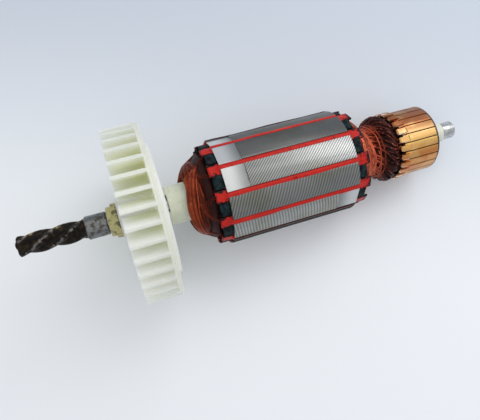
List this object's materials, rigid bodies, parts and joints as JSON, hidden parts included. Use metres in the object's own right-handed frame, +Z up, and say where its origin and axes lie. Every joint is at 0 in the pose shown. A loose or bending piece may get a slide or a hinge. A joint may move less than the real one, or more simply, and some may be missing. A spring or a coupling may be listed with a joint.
{
  "type": "motor armature",
  "caption": "Armature of a hand power tool motor with helical pinion, nylon fan, slotted wound core and hooked copper commutator, lying on a bench.",
  "frame": {"origin": "on the bench it lies on, under the middle of its length and width", "axes": "+X runs towards the commutator along the shaft as seen from above, +Z up; the shaft slopes down towards +X"},
  "size_m": [0.203, 0.075, 0.0764],
  "materials": {
    "shaft_steel": "ground, oily on the pinion",
    "spacer_brass": "dull, greasy",
    "fan_nylon": "satin",
    "insulation_white": "satin",
    "core_steel": "turned",
    "insulator_dark": "matt",
    "red_fibre": "varnished",
    "enamelled_wire": "varnished enamel on copper",
    "bar_copper": "run-in copper",
    "hub_moulding": "moulded phenolic"
  },
  "bodies": {
    "root": {"shaft": "shaft_steel", "bearing_spacer": "spacer_brass", "cooling_fan": "fan_nylon", "shaft_insulation": "insulation_white", "lamination_core": "core_steel", "front_insulator": "insulator_dark", "rear_insulator": "insulator_dark", "winding": "enamelled_wire", "commutator_hub": "hub_moulding", "end_sleeve": "insulation_white", "slot_liner_1": "red_fibre", "slot_liner_2": "red_fibre", "slot_liner_3": "red_fibre", "slot_liner_4": "red_fibre", "slot_liner_5": "red_fibre", "slot_liner_6": "red_fibre", "slot_liner_7": "red_fibre", "slot_liner_8": "red_fibre", "slot_liner_9": "red_fibre", "slot_liner_10": "red_fibre", "slot_liner_11": "red_fibre", "slot_liner_12": "red_fibre", "slot_wedge_1": "red_fibre", "slot_wedge_2": "red_fibre", "slot_wedge_3": "red_fibre", "slot_wedge_4": "red_fibre", "slot_wedge_5": "red_fibre", "slot_wedge_6": "red_fibre", "slot_wedge_7": "red_fibre", "slot_wedge_8": "red_fibre", "slot_wedge_9": "red_fibre", "slot_wedge_10": "red_fibre", "slot_wedge_11": "red_fibre", "slot_wedge_12": "red_fibre", "commutator_bar_1": "bar_copper", "commutator_bar_2": "bar_copper", "commutator_bar_3": "bar_copper", "commutator_bar_4": "bar_copper", "commutator_bar_5": "bar_copper", "commutator_bar_6": "bar_copper", "commutator_bar_7": "bar_copper", "commutator_bar_8": "bar_copper", "commutator_bar_9": "bar_copper", "commutator_bar_10": "bar_copper", "commutator_bar_11": "bar_copper", "commutator_bar_12": "bar_copper", "commutator_bar_13": "bar_copper", "commutator_bar_14": "bar_copper", "commutator_bar_15": "bar_copper", "commutator_bar_16": "bar_copper", "commutator_bar_17": "bar_copper", "commutator_bar_18": "bar_copper", "commutator_bar_19": "bar_copper", "commutator_bar_20": "bar_copper", "commutator_bar_21": "bar_copper", "commutator_bar_22": "bar_copper", "commutator_bar_23": "bar_copper", "commutator_bar_24": "bar_copper"}
  },
  "joints": []
}
